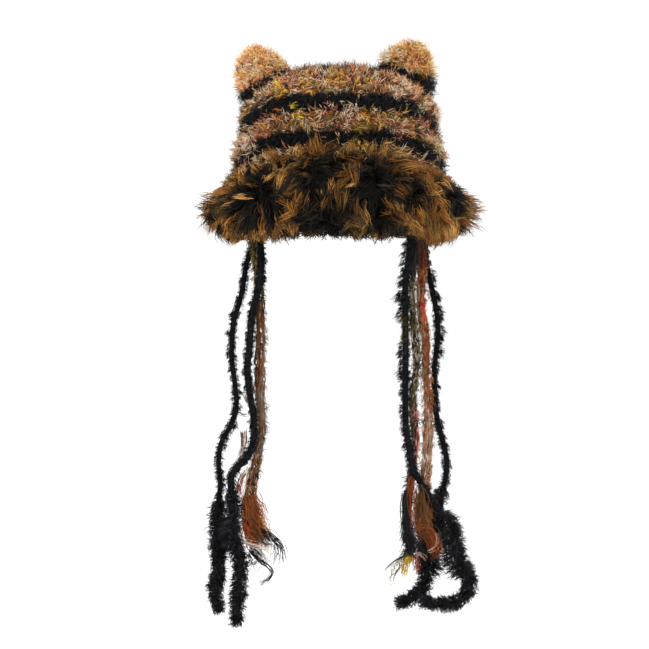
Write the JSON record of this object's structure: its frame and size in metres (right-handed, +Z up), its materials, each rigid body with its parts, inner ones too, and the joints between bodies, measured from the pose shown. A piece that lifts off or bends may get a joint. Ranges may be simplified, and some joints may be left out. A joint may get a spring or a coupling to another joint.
{
  "type": "knitted earflap hat",
  "caption": "Knitted hat with cat ears, striped eyelash-yarn crown, deep furry brim, and long furry cords and yarn bundles hanging as ties from each side.",
  "frame": {"origin": "inside top of the crown, where a head carries the hat", "axes": "+Z up, the front of the hat faces -Y, +X is on the right when it is seen from the front"},
  "size_m": [0.2599, 0.2803, 0.5344],
  "materials": {
    "mottled_yarn": "mottled peach, orange and mustard eyelash yarn, matt with fine shiny hairs",
    "black_yarn": "black eyelash yarn, matt with fine shiny hairs",
    "brown_fur": "long soft pile, tan brown with black patches",
    "orange_yarn": "thin rust, orange and olive yarns, matt"
  },
  "bodies": {
    "root": {"crown": "mottled_yarn", "ear_left": "mottled_yarn", "ear_right": "mottled_yarn", "fur_brim": "brown_fur", "tie_left_cord_outer": "black_yarn", "tie_left_tuft_outer": "black_yarn", "tie_left_cord_inner": "black_yarn", "tie_left_tuft_inner": "black_yarn", "tie_left_yarns": "orange_yarn", "tie_left_tassel": "orange_yarn", "tie_right_cord_inner": "black_yarn", "tie_right_tuft_inner": "black_yarn", "tie_right_cord_outer": "black_yarn", "tie_right_tuft_outer": "black_yarn", "tie_right_yarns_orange": "orange_yarn", "tie_right_tassel_orange": "orange_yarn", "tie_right_yarns_mottled": "mottled_yarn", "tie_right_tassel_mottled": "mottled_yarn"}
  },
  "joints": []
}
